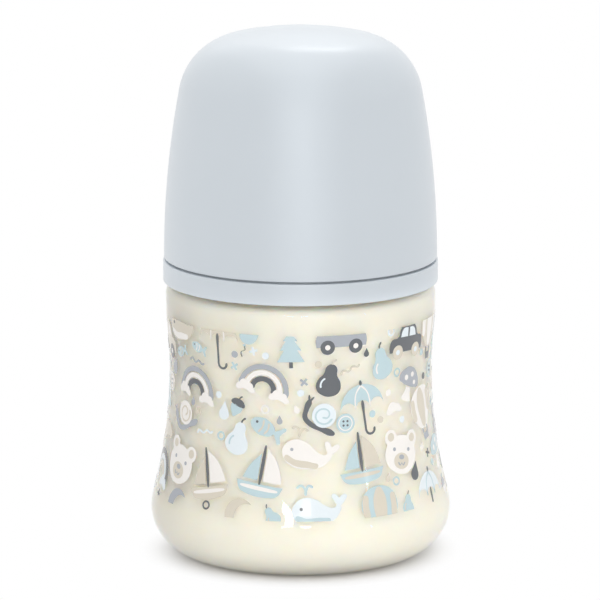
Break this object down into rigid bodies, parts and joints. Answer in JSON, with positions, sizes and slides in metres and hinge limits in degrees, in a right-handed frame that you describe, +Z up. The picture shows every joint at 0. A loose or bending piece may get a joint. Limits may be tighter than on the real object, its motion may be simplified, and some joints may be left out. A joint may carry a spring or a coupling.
{
  "type": "baby bottle",
  "caption": "Waisted clear feeding bottle for 150 ml with soft teat, stepped screw collar and smooth domed cap that lifts off.",
  "frame": {"origin": "centre of the round footprint, on the plane that the bottle stands on", "axes": "+Z up along the bottle's axis from foot to cap; +X towards the teat's air vent; -Y is the front"},
  "size_m": [0.0684, 0.0684, 0.1205],
  "materials": {
    "clear_wall": "glossy, clear",
    "silicone": "satin, translucent",
    "pale_plastic": "smooth satin"
  },
  "bodies": {
    "bottle": {"bottle": "clear_wall"},
    "teat": {"teat": "silicone"},
    "collar": {"collar": "pale_plastic"},
    "cap": {"cap": "pale_plastic"}
  },
  "joints": [
    {"name": "collar_rise", "type": "slide", "parent": "bottle", "child": "teat", "axis": [0, 0, 1], "range_m": [0, 0.0076]},
    {"name": "collar_turn", "type": "hinge", "parent": "teat", "child": "collar", "pos_m": [0, 0, 0.07], "axis": [0, 0, 1], "range_deg": [0, 540]},
    {"name": "cap_lift", "type": "slide", "parent": "collar", "child": "cap", "axis": [0, 0, 1], "range_m": [0, 0.06]}
  ],
  "couplings": [
    {"joint": "collar_rise", "follows": "collar_turn", "m_per_rad": 0.00079577}
  ]
}
